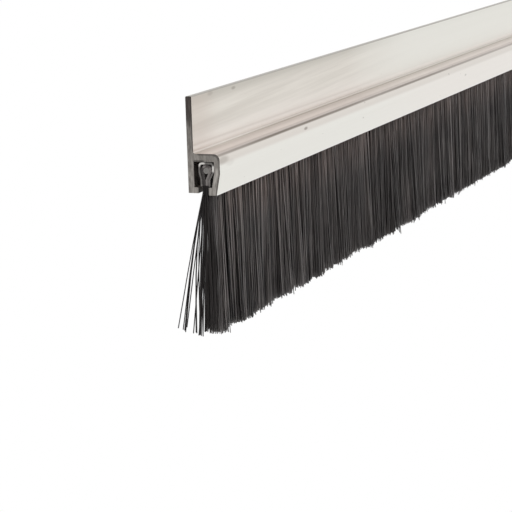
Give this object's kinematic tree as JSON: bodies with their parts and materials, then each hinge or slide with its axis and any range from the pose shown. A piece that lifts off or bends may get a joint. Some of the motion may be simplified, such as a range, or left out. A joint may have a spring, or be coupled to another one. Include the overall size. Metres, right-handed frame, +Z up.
{
  "type": "brush door sweep",
  "caption": "Door bottom sweep: an aluminium h-section carrier with a fixing flange, and a strip brush that slides in its groove and flexes against the floor.",
  "frame": {"origin": "centre of the carrier's flat back face, which lies on the door", "axes": "+X along the carrier, towards the end that is farther from the viewer, +Y out of the back face into the door, +Z up, away from the bristles"},
  "size_m": [0.914, 0.0089, 0.063],
  "materials": {
    "mill_aluminium": "mill-finish extrusion with faint lengthwise die lines and sawn ends",
    "galvanised_steel": "galvanised strip, folded, cut ends",
    "core_wire_steel": "drawn wire, cut ends",
    "black_filaments": "black nylon filaments with a soft sheen, cut tips"
  },
  "bodies": {
    "carrier": {"carrier": "mill_aluminium"},
    "brush_strip": {"backing_channel": "galvanised_steel", "core_wire": "core_wire_steel", "filament_roots": "black_filaments"},
    "bristles_1": {"bristles_1": "black_filaments"},
    "bristles_2": {"bristles_2": "black_filaments"},
    "bristles_3": {"bristles_3": "black_filaments"},
    "bristles_4": {"bristles_4": "black_filaments"},
    "bristles_5": {"bristles_5": "black_filaments"},
    "bristles_6": {"bristles_6": "black_filaments"}
  },
  "joints": [
    {"name": "brush_slide", "type": "slide", "parent": "carrier", "child": "brush_strip", "axis": [1, 0, 0], "range_m": [-0.92, 0.92]},
    {"name": "bristle_flex_1", "type": "hinge", "parent": "brush_strip", "child": "bristles_1", "pos_m": [0, -0.00455, -0.0141], "axis": [1, 0, 0], "range_deg": [-40, 40], "stiffness_Nm_per_rad": 0.14},
    {"name": "bristle_flex_2", "type": "hinge", "parent": "brush_strip", "child": "bristles_2", "pos_m": [0, -0.00455, -0.0141], "axis": [1, 0, 0], "range_deg": [-40, 40], "stiffness_Nm_per_rad": 0.14},
    {"name": "bristle_flex_3", "type": "hinge", "parent": "brush_strip", "child": "bristles_3", "pos_m": [0, -0.00455, -0.0141], "axis": [1, 0, 0], "range_deg": [-40, 40], "stiffness_Nm_per_rad": 0.14},
    {"name": "bristle_flex_4", "type": "hinge", "parent": "brush_strip", "child": "bristles_4", "pos_m": [0, -0.00455, -0.0141], "axis": [1, 0, 0], "range_deg": [-40, 40], "stiffness_Nm_per_rad": 0.14},
    {"name": "bristle_flex_5", "type": "hinge", "parent": "brush_strip", "child": "bristles_5", "pos_m": [0, -0.00455, -0.0141], "axis": [1, 0, 0], "range_deg": [-40, 40], "stiffness_Nm_per_rad": 0.14},
    {"name": "bristle_flex_6", "type": "hinge", "parent": "brush_strip", "child": "bristles_6", "pos_m": [0, -0.00455, -0.0141], "axis": [1, 0, 0], "range_deg": [-40, 40], "stiffness_Nm_per_rad": 0.14}
  ]
}
